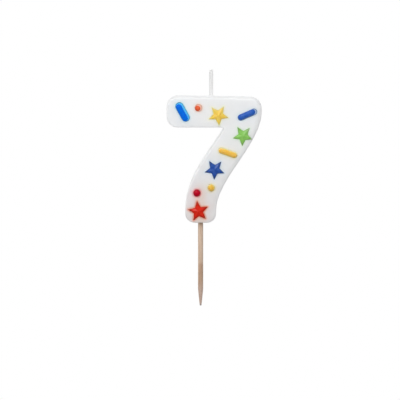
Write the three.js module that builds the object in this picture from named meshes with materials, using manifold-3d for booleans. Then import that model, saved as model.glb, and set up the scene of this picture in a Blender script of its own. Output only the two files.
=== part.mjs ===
// A number candle in the shape of a seven: a wax digit with a wick on top, a wooden pick
// below, and ten small coloured wax decorations on its front face.
// Millimetres, +Z up. The origin is on the pick's axis at the digit's underside, which is
// where the wax stands on the cake. +X is to the right, and the decorated front faces -Y.
import * as THREE from "three";
import { mergeVertices } from "three/addons/utils/BufferGeometryUtils.js";
import Module from "manifold-3d";

const wasm = await Module();
wasm.setup();

// Driving dimensions ------------------------------------------------------------------

const GAP = 0.3; // between a buried piece and the wax around it

// The digit: a bar with a curved leg under its right end.
const THICKNESS = 9;
const EDGE_ROUND = 0.5; // rounding of the front and back edges
const LEG_LEFT = -7.75;
const LEG_RIGHT = 7.8;
const BAR_LEFT = -17;
const BAR_RIGHT = 30.5;
const BAR_UNDERSIDE = 48.1;
const TOP_AT_LEFT = 63.3; // the top edge falls a little towards the right
const TOP_AT_RIGHT = 62.5;
const LEG_CORNER = 4.7;
const BAR_CORNER = 5.7;
const NOTCH_X = 12.1; // where the bar's underside meets the leg
const NOTCH_FILLET = 1.2;

// The leg's outer side is one S-curve that is upright at both ends.
const OUTER_TOP = 55.8;
const OUTER_TOP_PULL = 15.6;
const OUTER_FOOT = 6.8;
const OUTER_FOOT_PULL = 14.6;

// Its inner side leaves the notch on a slant and is upright at its foot.
const INNER_SLANT = { x: -8.2, z: -13.7 };
const INNER_FOOT = 4.8;
const INNER_FOOT_PULL = 18;

// The wick stands on the top edge and runs on, buried, round the notch and down the leg.
const WICK_X = 5.25;
const WICK_RADIUS = 1;
const WICK_TOP = 76.8;
const WICK_BEND_START = 60.8;
const WICK_BELLY = { x: 16.5, z: 42.8 };
const WICK_END = { x: 5.2, z: 24 };
const WICK_PULL = 7; // how far each bend keeps its direction at its ends
const COLLAR_HEIGHT = 1.1; // wax drawn up round the foot of the wick
const COLLAR_SPREAD = 1.2;
const COLLAR_LIP = 0.15;

// The pick: a round skewer with one tapered end.
const PICK_RADIUS = 1.3;
const PICK_TOP = 19.5;
const PICK_TAPER_START = -34.2;
const PICK_BOTTOM = -42.6;
const PICK_TIP_RADIUS = 0.45;

// Decorations lie on the front face. A turn of 0 has a rod level, or a star's tip down.
const STAR_RADIUS = 5.1;
const STAR_WAIST = 0.47; // inner radius as a share of the outer one
const STAR_EDGE = 0.45; // height of the wall round the star
const STAR_HEIGHT = 1.15;
const ROD_LENGTH = 9.6;
const ROD_WIDTH = 2.9;
const DOT_WIDTH = 3.6;
const BEAD_HEIGHT = 1.3; // of rods and dots
const SKIRT_HEIGHT = 0.35; // of the thin plate that shows beside a smaller bead

const STARS = [
  { name: "star_yellow", x: 8.85, z: 54.35, turn: 4, colour: 0xecbe46 },
  { name: "star_green", x: 21.1, z: 44, turn: -4, colour: 0x7dc355 },
  { name: "star_blue", x: 7.05, z: 26.95, turn: -3, colour: 0x2850a5 },
  { name: "star_red", x: -1.1, z: 5.9, turn: 188, colour: 0xcd1e14 },
];
const RODS = [
  {
    name: "rod_azure", x: -9, z: 56, turn: -61.5, colour: 0x0a5fdc,
    skirt: { length: 10.4, width: 4.1 },
    bead: { length: 9.4, width: ROD_WIDTH, right: -0.3, up: -0.42 },
  },
  {
    name: "rod_dark_blue", x: 23.3, z: 54.65, turn: 24, colour: 0x2355aa,
    skirt: { length: 10.2, width: 3.1 },
    bead: { length: 9.3, width: ROD_WIDTH, right: -0.4, up: 0 },
  },
  { name: "rod_yellow", x: 13.55, z: 35.4, turn: -20, colour: 0xe8b950 },
];
const DOTS = [
  {
    name: "dot_orange", x: -1.05, z: 58.05, colour: 0xde502d,
    skirt: { width: 3.7 },
    bead: { width: 2.7, right: -0.4, up: -0.2 },
  },
  { name: "dot_yellow", x: 5.3, z: 17.75, colour: 0xe4af46 },
  { name: "dot_crimson", x: -1.85, z: 15.15, colour: 0xb90028 },
];

// Round stretches are cut into this many straight steps.
const OUTLINE_STEPS = 12;
const EDGE_STEPS = 4;
const WICK_STEPS = 30;
const WICK_SIDES = 10;
const PICK_SIDES = 20;
const BEAD_STEPS = 6;
const BEAD_SIDES = 24;

const QUARTER_ARC_PULL = 0.5523; // handle length of a curve that stands for a quarter circle

// Solids ------------------------------------------------------------------------------

// A closed geometry as a solid that can be joined and cut.
function solidOf(geometry) {
  const bare = geometry.clone();
  bare.deleteAttribute("normal");
  bare.deleteAttribute("uv");
  const merged = mergeVertices(bare);
  return new wasm.Manifold(
    new wasm.Mesh({
      numProp: 3,
      vertProperties: new Float32Array(merged.attributes.position.array),
      triVerts: new Uint32Array(merged.index.array),
    }),
  );
}

function geometryOf(solid) {
  const mesh = solid.getMesh();
  const geometry = new THREE.BufferGeometry();
  geometry.setAttribute("position", new THREE.BufferAttribute(mesh.vertProperties, 3));
  geometry.setIndex(new THREE.BufferAttribute(mesh.triVerts, 1));
  geometry.computeVertexNormals();
  return geometry;
}

function material(colour, roughness) {
  return new THREE.MeshStandardMaterial({ color: colour, roughness, metalness: 0 });
}

function namedMesh(name, geometry, look) {
  const mesh = new THREE.Mesh(geometry, look);
  mesh.name = name;
  return mesh;
}

// A solid of revolution round the Z axis, from [radius, height] pairs.
function latheUpright(profile, sides) {
  const points = profile.map(([radius, height]) => new THREE.Vector2(radius, height));
  return new THREE.LatheGeometry(points, sides).rotateX(Math.PI / 2);
}

// The wax digit -----------------------------------------------------------------------

// Runs straight to a corner and rounds it off on the way to the next point.
function lineToCorner(path, corner, next, cutBack) {
  const start = path.currentPoint.clone().sub(corner).setLength(cutBack).add(corner);
  const end = next.clone().sub(corner).setLength(cutBack).add(corner);
  const leave = start.clone().lerp(corner, QUARTER_ARC_PULL);
  const arrive = end.clone().lerp(corner, QUARTER_ARC_PULL);
  path.lineTo(start.x, start.y);
  path.bezierCurveTo(leave.x, leave.y, arrive.x, arrive.y, end.x, end.y);
}

// The seven seen from the front, anticlockwise from the foot of the leg's inner side.
function digitOutline() {
  const point = (x, z) => new THREE.Vector2(x, z);
  const outerFoot = point(LEG_RIGHT, OUTER_FOOT);
  const topRight = point(BAR_RIGHT, TOP_AT_RIGHT);
  const topLeft = point(BAR_LEFT, TOP_AT_LEFT);
  const barLowLeft = point(BAR_LEFT, BAR_UNDERSIDE);
  const notch = point(NOTCH_X, BAR_UNDERSIDE);
  const slant = point(NOTCH_X + INNER_SLANT.x, BAR_UNDERSIDE + INNER_SLANT.z);

  const outline = new THREE.Shape();
  outline.moveTo(LEG_LEFT, INNER_FOOT);
  lineToCorner(outline, point(LEG_LEFT, 0), point(LEG_RIGHT, 0), LEG_CORNER);
  lineToCorner(outline, point(LEG_RIGHT, 0), outerFoot, LEG_CORNER);
  outline.lineTo(outerFoot.x, outerFoot.y);
  outline.bezierCurveTo(
    LEG_RIGHT, OUTER_FOOT + OUTER_FOOT_PULL,
    BAR_RIGHT, OUTER_TOP - OUTER_TOP_PULL,
    BAR_RIGHT, OUTER_TOP,
  );
  lineToCorner(outline, topRight, topLeft, BAR_CORNER);
  lineToCorner(outline, topLeft, barLowLeft, BAR_CORNER);
  lineToCorner(outline, barLowLeft, notch, BAR_CORNER);
  lineToCorner(outline, notch, slant, NOTCH_FILLET);
  outline.bezierCurveTo(
    slant.x, slant.y,
    LEG_LEFT, INNER_FOOT + INNER_FOOT_PULL,
    LEG_LEFT, INNER_FOOT,
  );
  return outline;
}

// The outline as a slab that stands upright, centred on Y = 0, with its edges rounded.
function digitSlab() {
  const slab = new THREE.ExtrudeGeometry(digitOutline(), {
    depth: THICKNESS - 2 * EDGE_ROUND,
    curveSegments: OUTLINE_STEPS,
    bevelThickness: EDGE_ROUND,
    bevelSize: EDGE_ROUND,
    bevelOffset: -EDGE_ROUND,
    bevelSegments: EDGE_STEPS,
  });
  slab.translate(0, 0, EDGE_ROUND - THICKNESS / 2);
  return slab.rotateX(Math.PI / 2);
}

// Height of the sloping top edge at a distance along it.
function topEdgeAt(x) {
  const along = (x - BAR_LEFT) / (BAR_RIGHT - BAR_LEFT);
  return THREE.MathUtils.lerp(TOP_AT_LEFT, TOP_AT_RIGHT, along);
}

// A low cone of wax round the foot of the wick, sunk into the top edge at its widest.
function wickCollar() {
  const foot = topEdgeAt(WICK_X) - COLLAR_HEIGHT;
  const wide = WICK_RADIUS + GAP + COLLAR_SPREAD;
  const profile = [
    [0, foot],
    [wide, foot],
    [wide, foot + COLLAR_HEIGHT],
    [WICK_RADIUS + GAP + COLLAR_LIP, foot + 2 * COLLAR_HEIGHT],
    [0, foot + 2 * COLLAR_HEIGHT],
  ];
  return latheUpright(profile, BEAD_SIDES).translate(WICK_X, 0, 0);
}

// A blind hole from below that the pick is pushed into.
function pickSocket() {
  const depth = PICK_TOP + GAP;
  const mouth = 1; // how far the cutter starts below the underside
  const cutter = new THREE.CylinderGeometry(
    PICK_RADIUS + GAP, PICK_RADIUS + GAP, depth + mouth, PICK_SIDES,
  );
  return cutter.rotateX(Math.PI / 2).translate(0, 0, (depth - mouth) / 2);
}

function waxBody() {
  const solid = solidOf(digitSlab())
    .add(solidOf(wickCollar()))
    .subtract(solidOf(wickTube(WICK_RADIUS + GAP, GAP)))
    .subtract(solidOf(pickSocket()));
  return namedMesh("wax_body", geometryOf(solid), material(0xf0efec, 0.45));
}

// Wick and pick -----------------------------------------------------------------------

// The wick's centre line, from its tip down to its buried end and a little past it.
function wickRoute(past) {
  const spot = (x, z) => new THREE.Vector3(x, 0, z);
  const tip = spot(WICK_X, WICK_TOP);
  const bend = spot(WICK_X, WICK_BEND_START);
  const belly = spot(WICK_BELLY.x, WICK_BELLY.z);
  const end = spot(WICK_END.x, WICK_END.z);
  const down = spot(0, -WICK_PULL);
  const slant = end.clone().sub(belly).setLength(WICK_PULL);
  end.addScaledVector(slant, past / WICK_PULL);

  const route = new THREE.CurvePath();
  route.add(new THREE.LineCurve3(tip, bend));
  route.add(
    new THREE.CubicBezierCurve3(bend, bend.clone().add(down), belly.clone().sub(down), belly),
  );
  route.add(
    new THREE.CubicBezierCurve3(belly, belly.clone().add(down), end.clone().sub(slant), end),
  );
  return route;
}

function wickTube(radius, past) {
  const section = new THREE.Shape().absarc(0, 0, radius, 0, 2 * Math.PI, false);
  return new THREE.ExtrudeGeometry(section, {
    steps: WICK_STEPS,
    curveSegments: WICK_SIDES / 2, // a full circle takes two steps for each one given
    extrudePath: wickRoute(past),
  });
}

function wick() {
  return namedMesh("wick", wickTube(WICK_RADIUS, 0), material(0xe4e4e2, 0.9));
}

function woodPick() {
  const profile = [
    [0, PICK_BOTTOM],
    [PICK_TIP_RADIUS, PICK_BOTTOM],
    [PICK_RADIUS, PICK_TAPER_START],
    [PICK_RADIUS, PICK_TOP],
    [0, PICK_TOP],
  ];
  return namedMesh("wood_pick", latheUpright(profile, PICK_SIDES), material(0xc6ad98, 0.8));
}

// Decorations -------------------------------------------------------------------------
// Each is made lying on the XY plane with its height along +Z, and is then set on the face.

// A ridged star: a lathe of ten steps whose every second step is drawn in to the waist.
function starGeometry() {
  const profile = [
    [0, 0],
    [STAR_RADIUS, 0],
    [STAR_RADIUS, STAR_EDGE],
    [0, STAR_HEIGHT],
  ];
  const star = latheUpright(profile, 10);
  const places = star.attributes.position;
  for (let i = 0; i < places.count; i += 1) {
    const step = Math.floor(i / profile.length);
    const share = step % 2 === 0 ? 1 : STAR_WAIST;
    places.setXY(i, places.getX(i) * share, places.getY(i) * share);
  }
  return star;
}

// The part of a rounded body that stands above the face it is pressed on.
function aboveFace(geometry) {
  const reach = 2 * ROD_LENGTH;
  const below = new THREE.BoxGeometry(reach, reach, reach).translate(0, 0, -reach / 2);
  return solidOf(geometry).subtract(solidOf(below));
}

// A rod or, where its length equals its width, a dot: domed over its whole width.
function beadSolid(length, width) {
  const radius = width / 2;
  const bead =
    length > width
      ? new THREE.CapsuleGeometry(radius, length - width, BEAD_STEPS, BEAD_SIDES)
      : new THREE.SphereGeometry(radius, BEAD_SIDES, 2 * BEAD_STEPS);
  bead.rotateZ(Math.PI / 2).scale(1, 1, BEAD_HEIGHT / radius);
  return aboveFace(bead);
}

// The thin plate of the same outline.
function skirtSolid(length, width) {
  const radius = width / 2;
  const middle = (length - width) / 2;
  const outline = new THREE.Shape()
    .absarc(middle, 0, radius, -Math.PI / 2, Math.PI / 2, false)
    .absarc(-middle, 0, radius, Math.PI / 2, (3 * Math.PI) / 2, false);
  const plate = new THREE.ExtrudeGeometry(outline, {
    depth: SKIRT_HEIGHT,
    curveSegments: OUTLINE_STEPS,
    bevelEnabled: false,
  });
  return solidOf(plate);
}

// A bead alone, or a skirt with a smaller bead set off to one side of it.
function rodOrDotGeometry(piece, length, width) {
  if (!piece.skirt) return geometryOf(beadSolid(length, width));
  const { skirt, bead } = piece;
  const turn = THREE.MathUtils.degToRad(piece.turn ?? 0);
  const shift = new THREE.Vector2(bead.right, bead.up).rotateAround(new THREE.Vector2(), -turn);
  const solid = skirtSolid(skirt.length ?? skirt.width, skirt.width).add(
    beadSolid(bead.length ?? bead.width, bead.width).translate([shift.x, shift.y, 0]),
  );
  return geometryOf(solid);
}

function setOnFace(piece, geometry) {
  const mesh = namedMesh(piece.name, geometry, material(piece.colour, 0.3));
  mesh.position.set(piece.x, piece.z, 0);
  mesh.rotation.z = THREE.MathUtils.degToRad(piece.turn ?? 0);
  return mesh;
}

// The front face as a group whose XY plane is the face, with +Z towards the viewer.
function decorations() {
  const face = new THREE.Group();
  face.rotation.x = Math.PI / 2;
  face.position.y = -THICKNESS / 2;
  for (const star of STARS) face.add(setOnFace(star, starGeometry()));
  for (const rod of RODS) face.add(setOnFace(rod, rodOrDotGeometry(rod, ROD_LENGTH, ROD_WIDTH)));
  for (const dot of DOTS) face.add(setOnFace(dot, rodOrDotGeometry(dot, DOT_WIDTH, DOT_WIDTH)));
  return face;
}

const candle = new THREE.Group();
candle.add(waxBody(), wick(), woodPick(), decorations());

export default candle;
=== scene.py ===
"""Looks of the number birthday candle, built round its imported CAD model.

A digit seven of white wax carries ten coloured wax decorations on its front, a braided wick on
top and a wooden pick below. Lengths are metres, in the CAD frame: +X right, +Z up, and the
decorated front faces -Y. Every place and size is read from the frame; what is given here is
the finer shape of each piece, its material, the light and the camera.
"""
import math

import bmesh
import bpy
import numpy as np
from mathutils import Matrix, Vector, geometry, kdtree, noise


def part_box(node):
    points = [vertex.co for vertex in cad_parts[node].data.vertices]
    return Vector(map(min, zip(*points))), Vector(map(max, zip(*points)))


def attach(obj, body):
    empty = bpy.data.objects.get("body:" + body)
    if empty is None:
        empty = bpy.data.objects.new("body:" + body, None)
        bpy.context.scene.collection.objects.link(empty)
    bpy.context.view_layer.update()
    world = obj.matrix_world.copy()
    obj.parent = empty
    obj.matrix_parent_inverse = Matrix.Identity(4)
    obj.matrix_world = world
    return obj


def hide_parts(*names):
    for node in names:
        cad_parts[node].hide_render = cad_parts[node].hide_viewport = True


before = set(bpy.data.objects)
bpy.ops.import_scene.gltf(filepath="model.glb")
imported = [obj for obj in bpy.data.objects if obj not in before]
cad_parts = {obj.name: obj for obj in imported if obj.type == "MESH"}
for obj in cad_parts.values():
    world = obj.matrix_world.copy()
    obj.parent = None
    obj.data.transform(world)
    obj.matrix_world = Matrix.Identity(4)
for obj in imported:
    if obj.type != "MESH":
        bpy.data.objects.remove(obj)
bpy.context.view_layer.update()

MM = 0.001
BODY = "root"
SAME_LEVEL = 0.01 * MM  # CAD corners this close to each other lie on one level
SAME_POINT = 0.0001 * MM  # corners closer than this are one

# The wax digit
OUTLINE_STEP = 0.4 * MM
CORNER_SOFTNESS = 0.7 * MM
FACE_GRID = 0.35 * MM
BACK_GRID = 1.0 * MM
BACK_DISH = 0.3 * MM  # wax shrinks as it sets, so the poured back is a little hollow
WICK_FILLET = 1.0 * MM  # how high the wax climbs round the foot of the wick
WICK_FILLET_SPREAD = 0.9 * MM
WICK_FILLET_DEPTH = 0.8 * MM
FACE_SAG = 1.2 * MM  # the front falls back towards its right-hand edge, and less so at its foot
SAG_REACH = 3 * MM
SAG_SIDE = (1, -0.25)
SAG_AT_FOOT = 0.3  # share of the sag that is left there

# Colour that shows in the wax, some of it painted light and shade: tones multiply its own colour
DYE_AND_LIGHT_RING = 0.6 * MM  # width of the strong ring of dye and painted light round a decoration
DYE_AND_LIGHT_RING_SHARE = 0.85  # the rest of the dye and painted light is in the haze
DYE_AND_LIGHT_HAZE = 2.2 * MM  # width of the faint haze round that ring
PICK_TONE = (1.0, 0.93, 0.87)
# Warmer and a little darker towards the foot: partly the pick showing through, partly painted shade for the
# light that falls off lower down
LEG_TONE_AND_SHADE = (0.985, 0.96, 0.955)

WICK_STEP = 0.2 * MM  # between rings of the braid

# Decorations
SUNK = 0.2 * MM  # how far a decoration is pressed into the face
MELTED_FOOT = 0.07 * MM  # spread of its melted foot
FOOT_WIDEST = -0.02 * MM  # height of the widest line of that foot
FOOT_TOP = 0.06 * MM
STAR_SHOULDER = 0.8  # where a star's rounded rim meets its facets, as a share of its reach

# The picture
VIEW_DISTANCE = 3.0
VIEW_WIDTH = 0.2
VIEW_RISE = math.radians(9)
VIEW_MIDDLE = Vector((-0.3 * MM, 0, 10.9 * MM))  # from the pick's axis and the wax's underside
SENSOR_WIDTH = 36

# The light: places are measured from the middle of the digit, powers are in watts
KEY_PLACE = Vector((-0.006, -0.16, 0.062))
KEY_SIZE = 0.09
KEY_POWER = 0.153
GLINT_PLACE = Vector((-0.12, -0.3, 0.2))
GLINT_SIZE = 0.03
GLINT_POWER = 0.6


# Reading the frame --------------------------------------------------------------------


def cad_corners(node):
    """The different corners of a CAD node, one row each."""
    places = np.array([v.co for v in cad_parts[node].data.vertices])
    return np.unique(places.round(7), axis=0)


def cad_cut(node, place, normal):
    """The points, in order, of the closed line where a plane cuts a CAD node."""
    cut = bmesh.new()
    cut.from_mesh(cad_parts[node].data)
    bmesh.ops.remove_doubles(cut, verts=cut.verts, dist=SAME_POINT)
    bmesh.ops.bisect_plane(
        cut,
        geom=cut.verts[:] + cut.edges[:] + cut.faces[:],
        plane_co=place,
        plane_no=normal,
        clear_inner=True,
        clear_outer=True,
    )
    cut.verts.ensure_lookup_table()
    vertex, edge, points = cut.verts[0], None, []
    while not points or vertex is not cut.verts[0]:
        points.append(vertex.co[:])
        edge = next(e for e in vertex.link_edges if e is not edge)
        vertex = edge.other_vert(vertex)
    cut.free()
    return np.array(points)


# Closed lines in the plane of the digit, as (x, z) rows ---------------------------------


def anticlockwise(line):
    """The same closed line, turned round if it runs clockwise."""
    x, z = line.T
    area = np.sum(x * np.roll(z, -1) - z * np.roll(x, -1))
    return line if area > 0 else line[::-1]


def respaced(line, step):
    """The same closed line with its points about a step apart."""
    closed = np.vstack([line, line[:1]])
    travel = np.concatenate([[0], np.cumsum(np.linalg.norm(np.diff(closed, axis=0), axis=1))])
    at = np.linspace(0, travel[-1], round(travel[-1] / step), endpoint=False)
    return np.column_stack([np.interp(at, travel, closed[:, i]) for i in (0, 1)])


def softened(line, reach):
    """The same closed line with its corners rounded over about the reach."""
    step = np.linalg.norm(line[1] - line[0])
    span = math.ceil(3 * reach / step)
    weights = {k: math.exp(-((k * step / reach) ** 2) / 2) for k in range(-span, span + 1)}
    total = sum(weight * np.roll(line, k, axis=0) for k, weight in weights.items())
    return total / sum(weights.values())


def inward(line):
    """Unit normals that point into an anticlockwise line."""
    along = np.roll(line, -1, axis=0) - np.roll(line, 1, axis=0)
    left = np.column_stack([-along[:, 1], along[:, 0]])
    return left / np.linalg.norm(left, axis=1, keepdims=True)


def nearest_on(line):
    """A function that finds the number of the line's point nearest to (x, z)."""
    tree = kdtree.KDTree(len(line))
    for i, (x, z) in enumerate(line):
        tree.insert((x, z, 0), i)
    tree.balance()
    return lambda x, z: tree.find((x, z, 0))[1]


def depth_inside(line):
    """A function that gives how far (x, z) lies inside a line; it is negative outside."""
    nearest = nearest_on(line)
    normals = inward(line)

    def measure(x, z):
        i = nearest(x, z)
        return (x - line[i][0]) * normals[i][0] + (z - line[i][1]) * normals[i][1]

    return measure


def filled(line, spacing):
    """Points and triangles that fill a line: its own points first, then a grid inside."""
    inside = depth_inside(line)
    low, high = line.min(axis=0), line.max(axis=0)
    points = [Vector(p) for p in line]
    for row, z in enumerate(np.arange(low[1], high[1], spacing)):
        for x in np.arange(low[0] + spacing * (row % 2) / 2, high[0], spacing):
            if inside(x, z) > 0.6 * spacing:
                points.append(Vector((x, z)))
    border = [(i, (i + 1) % len(line)) for i in range(len(line))]
    result = geometry.delaunay_2d_cdt(points, border, [], 1, SAME_POINT)
    faces, origins = result[2], result[3]
    return points, [[origins[v][0] for v in face] for face in faces]


# Meshes -------------------------------------------------------------------------------


def smoothstep(value, start, end):
    """A soft step from 0 at the start to 1 at the end; the end may be the lower of the two."""
    t = np.clip((value - start) / (end - start), 0, 1)
    return t * t * (3 - 2 * t)


def strips(rings, count):
    """Quads between neighbouring rings of equally many points."""
    return [
        [a * count + i, a * count + (i + 1) % count, (a + 1) * count + (i + 1) % count, (a + 1) * count + i]
        for a in range(rings - 1)
        for i in range(count)
    ]


def capped(rings, count):
    """Quads between rings, closed by a face over the first and the last ring."""
    last = (rings - 1) * count
    caps = [list(range(count))[::-1], list(range(last, last + count))]
    return strips(rings, count) + caps


def build(name, places, faces, node, material, numbers=None, colours=None):
    """A smooth piece that rides on the candle and stands for a CAD node."""
    mesh = bpy.data.meshes.new(name)
    mesh.from_pydata([tuple(p) for p in places], [], faces)
    tidy = bmesh.new()
    tidy.from_mesh(mesh)
    bmesh.ops.recalc_face_normals(tidy, faces=tidy.faces)
    tidy.to_mesh(mesh)
    tidy.free()
    mesh.shade_smooth()
    for title, values in (numbers or {}).items():
        layer = mesh.attributes.new(title, "FLOAT", "POINT")
        layer.data.foreach_set("value", np.asarray(values, np.float32))
    for title, values in (colours or {}).items():
        layer = mesh.attributes.new(title, "FLOAT_COLOR", "POINT")
        rows = np.column_stack([values, np.ones(len(values))])
        layer.data.foreach_set("color", rows.astype(np.float32).ravel())
    mesh.materials.append(material)
    piece = bpy.data.objects.new(name, mesh)
    bpy.context.scene.collection.objects.link(piece)
    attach(piece, BODY)
    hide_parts(node)
    return piece


def roughen(piece, *waves):
    """Moves the surface in and out by noise; each wave is (size, height)."""
    normals = [vertex.normal.copy() for vertex in piece.data.vertices]
    for vertex, normal in zip(piece.data.vertices, normals):
        shift = sum(height * noise.noise(vertex.co / size) for size, height in waves)
        vertex.co += normal * shift


# Materials ----------------------------------------------------------------------------


def linear(red, green, blue):
    """A colour given as 0 to 255 screen values, as the light that it stands for."""
    shares = [value / 255 for value in (red, green, blue)]
    return [c / 12.92 if c <= 0.04045 else ((c + 0.055) / 1.055) ** 2.4 for c in shares]


class Shader:
    """A material under construction: nodes are added by kind, and linked by their sockets."""

    def __init__(self, name):
        self.material = bpy.data.materials.new(name)
        self.material.use_nodes = True
        self.tree = self.material.node_tree
        self.surface = self.tree.nodes["Principled BSDF"]
        self.place = self.node("TexCoord").outputs["Object"]

    def node(self, kind, inputs=None, **settings):
        node = self.tree.nodes.new("ShaderNode" + kind)
        for key, value in settings.items():
            setattr(node, key, value)
        for socket, value in (inputs or {}).items():
            self.put(node.inputs[socket], value)
        return node

    def put(self, socket, value):
        if isinstance(value, bpy.types.NodeSocket):
            self.tree.links.new(value, socket)
        else:
            socket.default_value = value

    def set(self, **inputs):
        """Sets the surface's own sockets; an underscore stands for a space."""
        for key, value in inputs.items():
            self.put(self.surface.inputs[key.replace("_", " ")], value)

    def noise(self, size, stretch=(1, 1, 1), detail=3):
        """Noise with features of about that size, from 0 to 1."""
        scaled = self.node("Mapping", {"Vector": self.place, "Scale": stretch})
        inputs = {"Vector": scaled.outputs[0], "Scale": 1 / size, "Detail": detail}
        return self.node("TexNoise", inputs).outputs[0]

    def attribute(self, name, output="Fac"):
        return self.node("Attribute", attribute_name=name).outputs[output]

    def ranged(self, value, low, high, to_low, to_high):
        inputs = {0: value, 1: low, 2: high, 3: to_low, 4: to_high}
        return self.node("MapRange", inputs).outputs[0]

    def ramp(self, value, *stops):
        """A colour for each place along the value: stops are (place, colour)."""
        node = self.node("ValToRGB", {0: value})
        elements = node.color_ramp.elements
        while len(elements) < len(stops):
            elements.new(0.5)
        for element, (place, colour) in zip(elements, stops):
            element.position = place
            element.color = (*colour, 1)
        return node.outputs[0]

    def mix(self, share, first, second, blend="MIX"):
        """Two colours mixed; each is a socket or three numbers."""
        node = self.node("Mix", data_type="RGBA", blend_type=blend)
        for socket, value in ((node.inputs[0], share), (node.inputs[6], first), (node.inputs[7], second)):
            whole = (*value, 1) if isinstance(value, (list, tuple)) else value
            self.put(socket, whole)
        return node.outputs[2]

    def bump(self, *layers):
        """Fine relief on the surface: each layer is (height from 0 to 1, depth in metres)."""
        normal = None
        for height, depth in layers:
            inputs = {"Height": height, "Distance": depth}
            if normal:
                inputs["Normal"] = normal
            normal = self.node("Bump", inputs).outputs[0]
        self.set(Normal=normal)


def white_wax():
    """Paraffin wax: slightly translucent, satin, faintly mottled, with a few pinholes."""
    shader = Shader("white_wax")
    cloud = shader.ranged(shader.noise(7 * MM), 0.3, 0.7, 0.0, 1.0)
    mottled = shader.mix(cloud, linear(239, 240, 241), linear(243, 244, 245))
    shader.set(
        # the tint carries dye and painted light round the decorations, the pick seen through the wax, and
        # painted shade towards the foot
        Base_Color=shader.mix(1.0, mottled, shader.attribute("tint", "Color"), "MULTIPLY"),
        Roughness=shader.ranged(shader.noise(2.5 * MM), 0.3, 0.7, 0.38, 0.5),
        Subsurface_Weight=0.7,
        Subsurface_Radius=(1.0, 0.98, 0.96),
        Subsurface_Scale=1.2 * MM,
        Specular_IOR_Level=0.1,
        IOR=1.44,
    )
    holes = shader.node("TexVoronoi", {"Vector": shader.place, "Scale": 1 / (2.6 * MM)})
    pits = shader.ranged(holes.outputs["Distance"], 0.03, 0.09, 0.0, 1.0)
    shader.bump((shader.noise(0.5 * MM), 0.012 * MM), (shader.noise(3 * MM), 0.05 * MM), (pits, 0.03 * MM))
    return shader.material


def coloured_wax(name, body, rim, light, translucent=0.2, rim_start=0.62):
    """Dyed wax with another tone at its thin rim, paler in patches and where white wax veils it, which at
    the foot is also painted light.
    """
    shader = Shader(name)
    across = shader.attribute("rim")
    dyed = shader.ramp(across, (0.0, linear(*body)), (rim_start, linear(*body)), (1.0, linear(*rim)))
    patch = shader.ranged(shader.noise(1.6 * MM), 0.42, 0.75, 0.0, 0.5)
    dyed = shader.mix(patch, dyed, linear(*light))
    # at a decoration's foot the pale veil is also painted light over the contact shade
    veiled = shader.mix(shader.attribute("veil"), dyed, linear(232, 234, 222))
    finish_with_gloss(shader, veiled, translucent)
    return shader.material


def two_tone_wax(name, body, light, skirt, outline):
    """A bead on a paler skirt: the zone runs from 0 at the outer line to 1 on the bead's crown."""
    shader = Shader(name)
    zone = shader.attribute("zone")
    dyed = shader.ramp(
        zone,
        (0.0, linear(*outline)),
        (0.1, linear(*outline)),
        (0.2, linear(*skirt)),
        (0.45, linear(*skirt)),
        (0.55, linear(*body)),
    )
    patch = shader.ranged(shader.noise(1.6 * MM), 0.42, 0.75, 0.0, 0.55)
    on_bead = shader.ranged(zone, 0.6, 0.75, 0.0, 1.0)
    share = shader.node("Math", {0: patch, 1: on_bead}, operation="MULTIPLY").outputs[0]
    finish_with_gloss(shader, shader.mix(share, dyed, linear(*light)), 0.2)
    return shader.material


def finish_with_gloss(shader, colour, translucent):
    """Gives a dyed wax its satin gloss, its depth and its fine unevenness."""
    shader.set(
        Base_Color=colour,
        Roughness=shader.ranged(shader.noise(1.2 * MM), 0.3, 0.7, 0.24, 0.36),
        Subsurface_Weight=translucent,
        Subsurface_Radius=(1.0, 0.8, 0.6),
        Subsurface_Scale=1.2 * MM,
        Specular_IOR_Level=0.14,
        IOR=1.44,
    )
    shader.bump((shader.noise(0.35 * MM), 0.008 * MM), (shader.noise(1.5 * MM), 0.03 * MM))


def waxed_cotton():
    """A cotton braid soaked in wax: fine fibres under a thin satin coat."""
    shader = Shader("waxed_cotton")
    fibres = shader.noise(0.3 * MM, (1, 1, 0.3), 2)
    pale = shader.ranged(fibres, 0.35, 0.65, 0, 1)
    cotton = shader.mix(pale, linear(237, 237, 237), linear(240, 240, 239))
    shader.set(
        # the tint carries painted shade and the greyer core at the cut, from make_wick
        Base_Color=shader.mix(1.0, cotton, shader.attribute("tint", "Color"), "MULTIPLY"),
        Roughness=shader.ranged(fibres, 0.3, 0.7, 0.55, 0.75),
        Subsurface_Weight=0.6,
        Subsurface_Radius=(1.0, 1.0, 1.0),
        Subsurface_Scale=0.8 * MM,
        Specular_IOR_Level=0.08,
    )
    shader.bump((fibres, 0.015 * MM))
    return shader.material


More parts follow.
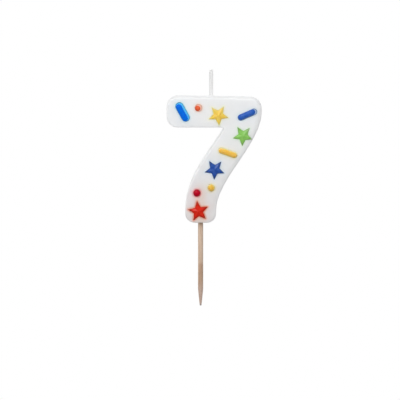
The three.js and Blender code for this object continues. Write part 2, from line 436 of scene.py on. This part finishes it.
def birch(stain_height, taper_height, tip_height):
    """Plain birch: fine grain, dark pores, painted shade on its right side, a stained lower half, a grey
    tip.
    """
    shader = Shader("birch")
    streaks = shader.noise(0.5 * MM, (1, 1, 0.05), 5)
    bands = shader.noise(1.4 * MM, (1, 1, 0.12), 2)
    pores = shader.noise(0.16 * MM, (1, 1, 0.06), 2)
    pale = shader.ranged(streaks, 0.35, 0.65, 0, 1)
    wood = shader.mix(pale, linear(218, 188, 163), linear(241, 216, 193))
    wood = shader.mix(shader.ranged(bands, 0.4, 0.7, 0, 0.5), wood, linear(206, 170, 144))
    wood = shader.mix(shader.ranged(pores, 0.62, 0.7, 0, 0.45), wood, linear(152, 118, 92))
    place = shader.node("SeparateXYZ", {0: shader.place}).outputs
    # painted shade: the right side of the pick is darkened in its colour
    painted_shade_right = shader.ranged(place["X"], 0.3 * MM, 1.2 * MM, 0, 1)
    wood = shader.mix(painted_shade_right, wood, linear(232, 234, 236), "MULTIPLY")
    height = place["Z"]
    stain = shader.ranged(height, stain_height + 0.5 * MM, stain_height - 0.8 * MM, 0, 1)
    wood = shader.mix(stain, wood, linear(238, 229, 222), "MULTIPLY")
    blush = shader.ranged(height, taper_height + 4 * MM, taper_height - 1 * MM, 0, 0.5)
    wood = shader.mix(blush, wood, linear(226, 203, 194))
    grey = shader.ranged(height, tip_height + 1.6 * MM, tip_height + 0.2 * MM, 0, 0.85)
    shader.set(
        Base_Color=shader.mix(grey, wood, linear(190, 181, 176)),
        Roughness=shader.ranged(streaks, 0.3, 0.7, 0.65, 0.85),
        Specular_IOR_Level=0.25,
    )
    shader.bump((streaks, 0.05 * MM), (pores, 0.03 * MM))
    return shader.material


# The wax digit --------------------------------------------------------------------------

wax_low, wax_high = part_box("wax_body")
wick_low, wick_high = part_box("wick")
pick_low, pick_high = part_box("wood_pick")
face_depth = wax_low.y

wax_corners = cad_corners("wax_body")
wall_corners = wax_corners[wax_corners[:, 0] < wax_low.x + SAME_LEVEL]
edge_round = wall_corners[:, 1].min() - face_depth

wall_place = (0, 0.67 * face_depth, 0)  # in front of the wick and the pick, behind the round
wall_cut = cad_cut("wax_body", wall_place, (0, 1, 0))[:, (0, 2)]
outline = softened(respaced(anticlockwise(wall_cut), OUTLINE_STEP), CORNER_SOFTNESS)
inside_wax = depth_inside(outline)
nearest_edge = nearest_on(outline)
edge_inward = inward(outline)

standing_wick = cad_cut("wick", (0, 0, (wax_high.z + wick_high.z) / 2), (0, 0, 1))
wick_x = standing_wick[:, 0].mean()
wick_radius = np.ptp(standing_wick[:, 1]) / 2


def face_sag(x, z):
    """How far the front has sunk at a place near its right-hand or lower edge."""
    lean = max(-edge_inward[nearest_edge(x, z)] @ SAG_SIDE, 0)
    nearness = np.clip(1 - inside_wax(x, z) / SAG_REACH, 0, 1)
    towards_top = SAG_AT_FOOT + (1 - SAG_AT_FOOT) * max(z, 0) / wax_high.z
    return FACE_SAG * towards_top * lean * nearness**2


def face_drop(x, z):
    """How far the front surface has fallen back at a place near its edge."""
    across = min(max(inside_wax(x, z), 0.1 * edge_round), edge_round)
    rounded = edge_round - math.sqrt(edge_round**2 - (edge_round - across) ** 2)
    return rounded + face_sag(x, z)


def edge_profile():
    """(inset from the outline, depth) from the front face round the wall to the back face."""
    front, back = wax_low.y, wax_high.y
    quarter = [
        (edge_round * (1 - math.cos(angle)), edge_round * (1 - math.sin(angle)))
        for angle in np.linspace(0, math.pi / 2, 9)
    ]
    wall = np.arange(front + edge_round + OUTLINE_STEP, back - edge_round, OUTLINE_STEP)
    profile = [(inset, front + fall) for inset, fall in quarter[::-1]]
    profile += [(0, depth) for depth in wall]
    profile += [(inset, back - fall) for inset, fall in quarter]
    return profile


def top_edge(x):
    """Height of the digit's top edge at a place along it."""
    above = outline[outline[:, 1] > 0.9 * wax_high.z]
    order = np.argsort(above[:, 0])
    return np.interp(x, above[order, 0], above[order, 1])


def wick_climb(x, y, z):
    """How far the wax rises where it has crept up the foot of the wick."""
    from_wick = math.hypot(x - wick_x, 0.75 * y) - wick_radius
    below_edge = max(top_edge(x) - z, 0)
    rise = math.exp(-max(from_wick, 0) / WICK_FILLET_SPREAD)
    return WICK_FILLET * rise * math.exp(-below_edge / WICK_FILLET_DEPTH)


def wax_places():
    """Corners and faces of the digit: two filled faces joined by rings round its edge."""
    normals = inward(outline)
    profile = edge_profile()
    rings = [outline + inset * normals for inset, _ in profile]
    places, faces = [], strips(len(rings), len(outline))
    for ring, (_, depth) in zip(rings, profile):
        places += [(x, depth, z) for x, z in ring]

    for first, depth, spacing in ((0, wax_low.y, FACE_GRID), (len(rings) - 1, wax_high.y, BACK_GRID)):
        ring_start = first * len(outline)
        points, triangles = filled(rings[first], spacing)
        added = len(places) - len(outline)
        places += [(x, depth, z) for x, z in points[len(outline):]]
        number = [i + (ring_start if i < len(outline) else added) for i in range(len(points))]
        faces += [[number[i] for i in triangle] for triangle in triangles]
    return places, faces


def shaped_wax(places):
    """The digit's corners with the sunken edges, the hollow back and the wax drawn up the wick."""
    shaped = []
    for x, y, z in places:
        if y > wax_high.y - SAME_LEVEL:
            y -= BACK_DISH * smoothstep(inside_wax(x, z), edge_round, 4 * MM)
        y += face_sag(x, z) * smoothstep(y, 0, wax_low.y + edge_round)
        shaped.append((x, y, z + wick_climb(x, y, z)))
    return shaped


def tinted(tint, amount, tone):
    """The tint of each corner, multiplied by a tone as far as the amount there says."""
    return tint * (1 - amount[:, None] * (1 - np.array(tone)))


def wax_tints(places, halos):
    """Colour that shows in the wax: dye round each decoration, with painted light where a share is above 1,
    the pick inside the leg, and a warmer, darker tone towards the foot that is partly painted shade.
    """
    x, y, z = np.array(places).T
    tint = np.ones((len(places), 3))
    in_front = smoothstep(y, wax_low.y + edge_round, wax_low.y)
    for line, dye_and_light in halos:
        nearest = nearest_on(line)
        gap = np.array([math.dist(p, line[nearest(*p)]) for p in zip(x, z)])
        # shares above 1 in a halo are painted light that lightens the contact shade round the piece
        ring = DYE_AND_LIGHT_RING_SHARE * np.exp(-((gap / DYE_AND_LIGHT_RING) ** 2))
        haze = (1 - DYE_AND_LIGHT_RING_SHARE) * np.exp(-gap / DYE_AND_LIGHT_HAZE)
        tint = tinted(tint, (ring + haze) * in_front, dye_and_light)
    beside_pick = smoothstep(np.abs(x), 4.2 * MM, 0.8 * MM)
    up_the_pick = smoothstep(z, pick_high.z + 2.5 * MM, pick_high.z - 5 * MM)
    tint = tinted(tint, beside_pick * up_the_pick, PICK_TONE)
    return tinted(tint, smoothstep(z, 0.55 * wax_high.z, 0), LEG_TONE_AND_SHADE)


# Wick and pick ----------------------------------------------------------------------------


def wick_line():
    """The wick's centre line from tip to buried end, as (x, z) rows."""
    margin = 0.5 * MM
    heights = np.linspace(wick_high.z - margin, wick_low.z + 2 * margin, 80)
    middles = [cad_cut("wick", (0, 0, h), (0, 0, 1))[:, 0].mean() for h in heights]
    line = np.column_stack([middles, heights])
    line[0, 1] = wick_high.z
    travel = np.concatenate([[0], np.cumsum(np.linalg.norm(np.diff(line, axis=0), axis=1))])
    at = np.arange(0, travel[-1], WICK_STEP)
    return np.column_stack([np.interp(at, travel, line[:, i]) for i in (0, 1)])


def make_wick(material):
    """A round braid with a slanting cut end: painted shade darkens it in a low pinch and on its left, and a
    greyer core with painted shade darkens its cut.
    """
    sides = 30
    strands = 4
    braid_pitch = 3.2 * MM
    slant = 0.5 * MM
    weave_depth = 0.012 * MM
    pinch_depth = 0.1 * MM
    painted_shade_in_pinch = 0.06
    core_and_shade_at_cut = 0.1
    painted_shade_on_left = 0.05
    line = wick_line()
    along = np.gradient(line, axis=0)
    along /= np.linalg.norm(along, axis=1, keepdims=True)
    pinch_height = top_edge(wick_x) + 1.8 * MM
    places, tints = [], []
    for row, (middle, direction) in enumerate(zip(line, along)):
        travel = row * WICK_STEP
        at_tip = math.exp(-travel / (0.35 * MM))
        for side in range(sides):
            angle = 2 * math.pi * side / sides
            twist = 2 * math.pi * travel / braid_pitch
            weave = max(math.cos(strands * angle + twist), math.cos(strands * angle - twist))
            right = math.cos(angle)
            pinch = math.exp(-(((middle[1] - pinch_height) / (0.5 * MM)) ** 2)) * max(right, 0)
            radius = wick_radius * (1 - 0.12 * at_tip) + weave_depth * (weave - 1) - pinch_depth * pinch
            x = middle[0] - direction[1] * right * radius
            z = middle[1] + direction[0] * right * radius
            z -= slant * (1 - right) / 2 * smoothstep(travel, 3 * slant, 0)
            places.append((x, -radius * math.sin(angle), z))
            # painted shade in the pinch and on the left side; at the cut, a greyer cotton core and painted
            # shade
            dark = painted_shade_in_pinch * pinch + core_and_shade_at_cut * at_tip * max(right, 0)
            dark += painted_shade_on_left * (1 - right)
            tints.append([1 - dark] * 3)
    faces = capped(len(line), sides)
    colours = {"tint": np.array(tints)}
    build("wick_braid", places, faces, "wick", material, colours=colours)


def make_pick(material):
    """A round skewer with raised fibres and one blunt tapered end."""
    sides = 64
    mean_size = 0.985
    fibre_relief = 0.012
    fine_relief = 0.008
    corners = cad_corners("wood_pick")
    full = np.hypot(corners[:, 0], corners[:, 1]) > 0.98 * pick_high.x
    taper_height = corners[full, 2].min()
    bottom = corners[corners[:, 2] < pick_low.z + SAME_LEVEL]
    tip_radius = np.hypot(bottom[:, 0], bottom[:, 1]).max()
    blunt_length = 0.25 * MM
    steady = np.arange(pick_high.z, taper_height, -0.8 * MM)
    tapering = np.linspace(taper_height, pick_low.z + blunt_length, 14)
    rounding = pick_low.z + np.array([0.12, 0.04, 0]) * MM
    places = []
    for z in [*steady, *tapering, *rounding]:
        share = np.clip((z - pick_low.z) / (taper_height - pick_low.z), 0, 1)
        shoulder = share + 0.12 * share * (1 - share)  # the taper is a little full
        radius = tip_radius + (pick_high.x - tip_radius) * shoulder
        blunt = max(0.0, 1 - (z - pick_low.z) / blunt_length)
        radius *= 1 - 0.35 * blunt**2
        for side in range(sides):
            angle = 2 * math.pi * side / sides
            around = Vector((math.cos(angle), math.sin(angle), 0))
            fibre = noise.noise(Vector((5 * around.x, 5 * around.y, z / (14 * MM))))
            fine = noise.noise(Vector((12 * around.x, 12 * around.y, z / (5 * MM))))
            size = radius * (mean_size + fibre_relief * fibre + fine_relief * fine)
            places.append((size * around.x, size * around.y, z))
    rings = len(places) // sides
    build("birch_pick", places, capped(rings, sides), "wood_pick", material)


# Decorations --------------------------------------------------------------------------
# Each is made as rings of (right, up) points at a height above the face, from its sunken edge
# to its crown. Each maker returns the footprint's outline on the face, as (x, z) rows.

NO_VEIL = (0, 0)


class Placed:
    """Where a decoration lies on the face, as its CAD node says."""

    def __init__(self, node):
        corners = cad_corners(node)
        self.heights = face_depth - corners[:, 1]
        self.height = self.heights.max()
        self.plan = corners[:, (0, 2)]

    def local(self, middle, turn, chosen):
        """The chosen corners seen from the piece's own middle, with its own axis to the right."""
        right = np.array((math.cos(turn), math.sin(turn)))
        up = np.array((-right[1], right[0]))
        offsets = self.plan[chosen] - middle
        return np.column_stack([offsets @ right, offsets @ up])


def on_face(rings, middle, turn):
    """Local ring points moved to their place on the face, bent over its rounded edge."""
    right = np.array((math.cos(turn), math.sin(turn)))
    up = np.array((-right[1], right[0]))
    places = []
    for points, height in rings:
        for u, v in points:
            x, z = middle + u * right + v * up
            places.append((x, face_depth - height + face_drop(x, z), z))
    return places


def stadium(length, width):
    """A round-ended outline, anticlockwise; with equal sides it is a circle."""
    cap_steps = 14
    side_steps = 26
    radius = width / 2
    half = max(length - width, 0) / 2
    cap = np.linspace(-math.pi / 2, math.pi / 2, cap_steps + 1)
    right = [(half + radius * math.cos(a), radius * math.sin(a)) for a in cap]
    left = [(-half - radius * math.cos(a), -radius * math.sin(a)) for a in cap]
    if half == 0:
        return np.array(right[:-1] + left[:-1])
    run = np.linspace(half, -half, side_steps + 2)[1:-1]
    return np.array(right + [(x, radius) for x in run] + left + [(-x, -radius) for x in run])


def dome_rings(length, width, foot, crown):
    """Rings over a full, soft dome: (points, height, share of the way out to its edge)."""
    steps = 11
    fullness = 1.05
    rings = []
    for angle in np.linspace(0, 0.96 * math.pi / 2, steps):
        outward = math.cos(angle) ** fullness
        inset = width * (1 - outward)
        height = foot + (crown - foot) * math.sin(angle) ** fullness
        rings.append((stadium(length - inset, width - inset), height, outward))
    return rings


def foot_rings(length, width):
    """The sunken edge of a decoration and its melted foot."""
    spread = 2 * MELTED_FOOT
    return [
        (stadium(length, width), -SUNK),
        (stadium(length + spread, width + spread), FOOT_WIDEST),
        (stadium(length + 0.3 * spread, width + 0.3 * spread), FOOT_TOP),
    ]


def make_bead(piece_name, node, slot, material, veiled=NO_VEIL):
    """A rod or dot that is one full bead."""
    placed = Placed(node)
    middle, turn, length, width = footprint(placed)
    rings = [(*ring, 1.0) for ring in foot_rings(length, width)]
    rings += dome_rings(length, width, 0.12 * MM, placed.height)
    count = len(rings[0][0])
    rim = np.repeat([outward for _, _, outward in rings], count)
    rings = [(points, height) for points, height, _ in rings]
    places = on_face(rings, middle, turn)
    numbers = {"rim": rim, "veil": veil_over(places, middle, width / 2, veiled)}
    piece = build(piece_name, places, capped(len(rings), count), node, material, numbers)
    roughen(piece, (2.5 * MM, 0.05 * MM), (0.8 * MM, 0.015 * MM))
    return outer_line(rings, middle, turn)


def veil_over(places, middle, reach, veiled):
    """How much white wax veils each place: half of it at the foot, where the pale veil is also painted
    light over the contact shade, and some towards one side.
    """
    x, y, z = np.array(places).T
    amount = math.hypot(*veiled)
    across = ((x - middle[0]) * veiled[0] + (z - middle[1]) * veiled[1]) / (reach * amount or 1)
    side = amount * smoothstep(across, 0.2, 1.1)
    foot = 0.5 * smoothstep(y, face_depth - 0.12 * MM, face_depth)
    return np.maximum(side, foot)


def make_two_tone(piece_name, node, slot, material):
    """A rod or dot that is a bead set off centre on a thin skirt."""
    placed = Placed(node)
    middle, turn, length, width = footprint(placed)
    skirt_height, bead_middle, bead_length, bead_width = bead_on_skirt(placed, middle, turn)
    if length == width:
        bead_length = bead_width

    skirt_top = 0.9 * skirt_height
    rings = [(*ring, 0.0) for ring in foot_rings(length, width)]
    rings += [
        (stadium(length - 0.15 * MM, width - 0.15 * MM), 0.7 * skirt_top, 0.05),
        (stadium(length - 0.4 * MM, width - 0.4 * MM), skirt_top, 0.12),
        (stadium(length - 0.55 * MM, width - 0.55 * MM), skirt_top, 0.3),
    ]
    dome = dome_rings(bead_length, bead_width, 0.75 * skirt_top, placed.height)
    near = stadium(bead_length + 0.12 * MM, bead_width + 0.12 * MM) + bead_middle
    rings.append((near, 0.8 * skirt_top, 0.4))
    for step, (points, height, _) in enumerate(dome):
        rings.append((points + bead_middle, height, min(1.0, 0.6 + 0.08 * step)))

    count = len(rings[0][0])
    zone = np.repeat([zone for _, _, zone in rings], count)
    rings = [(points, height) for points, height, _ in rings]
    places = on_face(rings, middle, turn)
    piece = build(piece_name, places, capped(len(rings), count), node, material, {"zone": zone})
    roughen(piece, (2.5 * MM, 0.03 * MM))
    return outer_line(rings, middle, turn)


def bead_on_skirt(placed, middle, turn):
    """Height of the skirt, and middle, length and width of the bead at its own foot."""
    levels, counts = np.unique(placed.heights.round(6), return_counts=True)
    above_foot = levels > SAME_LEVEL
    skirt_height = levels[above_foot][counts[above_foot].argmax()]
    chosen = placed.heights > skirt_height + SAME_LEVEL
    bead, heights = placed.local(middle, turn, chosen), placed.heights[chosen]
    bead_middle = (bead.min(axis=0) + bead.max(axis=0)) / 2

    def narrowing(corner):
        return math.sqrt(1 - (heights[corner] / placed.height) ** 2)

    radius = np.ptp(bead[:, 1]) / 2 / narrowing(bead[:, 1].argmax())
    half_run = np.ptp(bead[:, 0]) / 2 - radius * narrowing(bead[:, 0].argmax())
    return skirt_height, bead_middle, 2 * (half_run + radius), 2 * radius


def footprint(placed):
    """Middle, turn, length and width of a round-ended footprint."""
    foot = placed.plan[placed.heights < SAME_LEVEL]
    gaps = np.linalg.norm(foot[:, None] - foot[None, :], axis=2)
    start, end = (foot[i] for i in np.unravel_index(gaps.argmax(), gaps.shape))
    if start[0] > end[0]:
        start, end = end, start
    middle = (start + end) / 2
    turn = math.atan2(end[1] - start[1], end[0] - start[0])
    width = np.ptp(placed.local(middle, turn, placed.heights < SAME_LEVEL)[:, 1])
    length = gaps.max()
    if length < 1.05 * width:
        length = width
        middle = (foot.min(axis=0) + foot.max(axis=0)) / 2
    return middle, turn, length, width


def outer_line(rings, middle, turn):
    """The footprint's outline on the face, as (x, z) rows."""
    places = np.array(on_face([rings[1]], middle, turn))
    return places[:, (0, 2)]


def star_outline(tip, waist, softness):
    """A five-pointed outline with one point to the right, its corners softened."""
    corners = []
    for k in range(10):
        reach = tip if k % 2 == 0 else waist
        corners.append((reach * math.cos(k * math.pi / 5), reach * math.sin(k * math.pi / 5)))
    return softened(respaced(np.array(corners), 0.14 * MM), softness)


def make_star(piece_name, node, slot, material, veiled=NO_VEIL):
    """A star with a ridge along each point, rounded at its rim."""
    placed = Placed(node)
    middle = placed.plan[placed.heights.argmax()]
    reaches = np.linalg.norm(placed.plan - middle, axis=1)
    tip = reaches.max()
    waist = reaches[reaches > SAME_LEVEL].min()
    farthest = placed.plan[reaches.argmax()] - middle
    turn = math.atan2(farthest[1], farthest[0])
    rim_height = placed.heights[placed.heights > SAME_LEVEL].min()

    line = star_outline(tip, waist, 0.16 * MM)
    line *= tip / np.linalg.norm(line, axis=1).max()
    crown_line = softened(line, 0.35 * MM)
    shape = [(1.0, -SUNK), (1.015, FOOT_WIDEST), (1.005, FOOT_TOP)]
    for share in (0.995, 0.97, 0.94, 0.9, 0.85):
        past_shoulder = (share - STAR_SHOULDER) / (1 - STAR_SHOULDER)
        shape.append((share, rim_height * math.sqrt(1 - past_shoulder**2)))
    for share in np.linspace(STAR_SHOULDER, 0.04, 14):
        climb = (placed.height - rim_height) * (1 - share / STAR_SHOULDER)
        shape.append((share, rim_height + climb))
    rings = [(share * (share * line + (1 - share) * crown_line), height) for share, height in shape]
    count = len(line)
    size = np.concatenate([np.linalg.norm(points, axis=1) for points, _ in rings]) / tip
    heights = np.repeat([height for _, height in rings], count)
    low_rim = 0.35 * smoothstep(heights, 0.8 * rim_height, 0.2 * rim_height)
    rim = np.clip(size + low_rim, 0, 1)
    places = on_face(rings, middle, turn)
    numbers = {"rim": rim, "veil": veil_over(places, middle, tip, veiled)}
    piece = build(piece_name, places, capped(len(rings), count), node, material, numbers)
    roughen(piece, (2 * MM, 0.04 * MM), (0.6 * MM, 0.012 * MM))
    return outer_line(rings, middle, turn)


# What each decoration is: its maker, slot and material, the dye that it gives to the wax beside
# it, whose shares above 1 are painted light over the contact shade round it, and, where white
# wax veils it on one side, that side as (right, up); the longer these two are together, the
# thicker the veil.

YELLOW_BEAD = coloured_wax(
    "yellow_bead_wax", (240, 194, 86), (252, 226, 156), (240, 208, 124), translucent=1.0, rim_start=0.7
)
DECORATIONS = [
    (
        "star_yellow", make_star, "yellow_wax",
        coloured_wax("yellow_wax", (246, 205, 90), (228, 206, 126), (250, 218, 128), translucent=0.7),
        (1.04, 1.02, 0.78), (0, 0.2),
    ),
    (
        "star_green", make_star, "green_wax",
        coloured_wax("green_wax", (136, 200, 94), (108, 152, 80), (162, 214, 124), rim_start=0.5),
        (0.93, 1.06, 0.88), (0.2, 0.2),
    ),
    (
        "star_blue", make_star, "dark_blue_wax",
        coloured_wax("dark_blue_wax", (42, 82, 166), (34, 58, 92), (78, 112, 186), rim_start=0.5),
        (0.86, 0.96, 1.08),
    ),
    (
        "star_red", make_star, "red_wax",
        coloured_wax("red_wax", (222, 38, 20), (140, 30, 18), (232, 62, 36), rim_start=0.5),
        (1.14, 0.5, 0.34),
    ),
    (
        "rod_azure", make_two_tone, "azure_wax",
        two_tone_wax("azure_wax", (0, 106, 226), (14, 122, 234), (92, 196, 252), (50, 136, 180)),
        (0.8, 1.0, 1.08),
    ),
    (
        "rod_dark_blue", make_two_tone, "dark_blue_wax",
        two_tone_wax(
            "dark_blue_two_tone_wax", (42, 92, 182), (80, 122, 198), (170, 194, 226), (84, 114, 150)
        ),
        (0.9, 0.99, 1.06),
    ),
    ("rod_yellow", make_bead, "yellow_wax", YELLOW_BEAD, (1.05, 1.0, 0.74)),
    (
        "dot_orange", make_two_tone, "orange_wax",
        two_tone_wax("orange_wax", (226, 90, 50), (240, 120, 80), (246, 200, 182), (214, 156, 134)),
        (1.06, 0.9, 0.82),
    ),
    ("dot_yellow", make_bead, "yellow_wax", YELLOW_BEAD, (1.05, 0.97, 0.7)),
    (
        "dot_crimson", make_bead, "crimson_wax",
        coloured_wax("crimson_wax", (190, 0, 34), (160, 16, 44), (212, 44, 70)),
        (1.14, 0.5, 0.52),
    ),
]


def make_decorations():
    """Makes every decoration, and returns the halo of dye and painted light that each gives to the wax."""
    halos = []
    for node, maker, slot, material, dye_and_light, *veiled in DECORATIONS:
        line = maker(node + "_wax", node, slot, material, *veiled)
        halos.append((line, dye_and_light))
    return halos


def make_wax(material, halos):
    """The white digit, slightly uneven all over."""
    places, faces = wax_places()
    shaped = shaped_wax(places)
    colours = {"tint": wax_tints(shaped, halos)}
    piece = build("wax_digit", shaped, faces, "wax_body", material, colours=colours)
    roughen(piece, (12 * MM, 0.08 * MM), (3 * MM, 0.02 * MM))


# Stage ------------------------------------------------------------------------------------


def make_floor():
    """A plain white floor, far enough below to catch no shadow; only the camera sees it."""
    depth = -0.15
    size = 6
    mesh = bpy.data.meshes.new("floor")
    corners = [(-size, -size, depth), (size, -size, depth), (size, size, depth), (-size, size, depth)]
    mesh.from_pydata(corners, [], [(0, 1, 2, 3)])
    floor = bpy.data.objects.new("floor", mesh)
    bpy.context.scene.collection.objects.link(floor)
    shader = Shader("floor_white")
    shader.set(
        Base_Color=(0, 0, 0, 1), Specular_IOR_Level=0.0,
        Emission_Color=(1, 1, 1, 1), Emission_Strength=1.0,
    )
    mesh.materials.append(shader.material)
    floor.visible_diffuse = False
    floor.visible_glossy = False
    floor.visible_transmission = False
    floor.visible_shadow = False


def make_world():
    """White to the camera; as light, brightest from the white background behind and from above."""
    towards_light = Vector((-0.1, 0.35, 0.25))
    middle_strength = 0.66
    world = bpy.data.worlds.new("studio")
    world.use_nodes = True
    bpy.context.scene.world = world
    tree = world.node_tree
    new = tree.nodes.new
    link = tree.links.new
    background = tree.nodes["Background"]
    background.inputs["Color"].default_value = (1, 1, 1, 1)

    direction = new("ShaderNodeTexCoord").outputs["Generated"]
    slope = new("ShaderNodeVectorMath")
    slope.operation = "DOT_PRODUCT"
    slope.inputs[1].default_value = towards_light
    link(direction, slope.inputs[0])
    level = new("ShaderNodeMath")
    level.inputs[1].default_value = middle_strength
    link(slope.outputs["Value"], level.inputs[0])
    seen = new("ShaderNodeMix")
    link(new("ShaderNodeLightPath").outputs["Is Camera Ray"], seen.inputs[0])
    link(level.outputs[0], seen.inputs[2])
    seen.inputs[3].default_value = 1
    link(seen.outputs[0], background.inputs["Strength"])


def make_light(name, place, target, size, power, glossy):
    """A soft square light that faces a point, and shows in gloss or only lights surfaces."""
    lamp = bpy.data.lights.new(name, "AREA")
    lamp.size = size
    lamp.energy = power
    holder = bpy.data.objects.new(name, lamp)
    holder.location = place
    holder.rotation_euler = (Vector(target) - Vector(place)).to_track_quat("-Z", "Y").to_euler()
    holder.visible_camera = False
    holder.visible_glossy = glossy
    holder.visible_diffuse = not glossy
    bpy.context.scene.collection.objects.link(holder)


def make_camera():
    """Level across and a little above the candle, far away behind a long lens."""
    data = bpy.data.cameras.new("camera")
    data.sensor_width = SENSOR_WIDTH
    data.lens = SENSOR_WIDTH * VIEW_DISTANCE / VIEW_WIDTH
    camera = bpy.data.objects.new("camera", data)
    back = Vector((0, -math.cos(VIEW_RISE), math.sin(VIEW_RISE)))
    camera.location = VIEW_MIDDLE + VIEW_DISTANCE * back
    camera.rotation_euler = (math.pi / 2 - VIEW_RISE, 0, 0)
    bpy.context.scene.collection.objects.link(camera)
    bpy.context.scene.camera = camera


make_camera()
make_world()
make_floor()
digit_middle = (wax_low + wax_high) / 2
make_light("key", digit_middle + KEY_PLACE, digit_middle, KEY_SIZE, KEY_POWER, glossy=False)
make_light("glint", digit_middle + GLINT_PLACE, digit_middle, GLINT_SIZE, GLINT_POWER, glossy=True)
bpy.context.scene.view_settings.view_transform = "Standard"

halos = make_decorations()
make_wax(white_wax(), halos)
make_wick(waxed_cotton())
make_pick(birch(stain_height=0.49 * pick_low.z, taper_height=0.8 * pick_low.z, tip_height=pick_low.z))
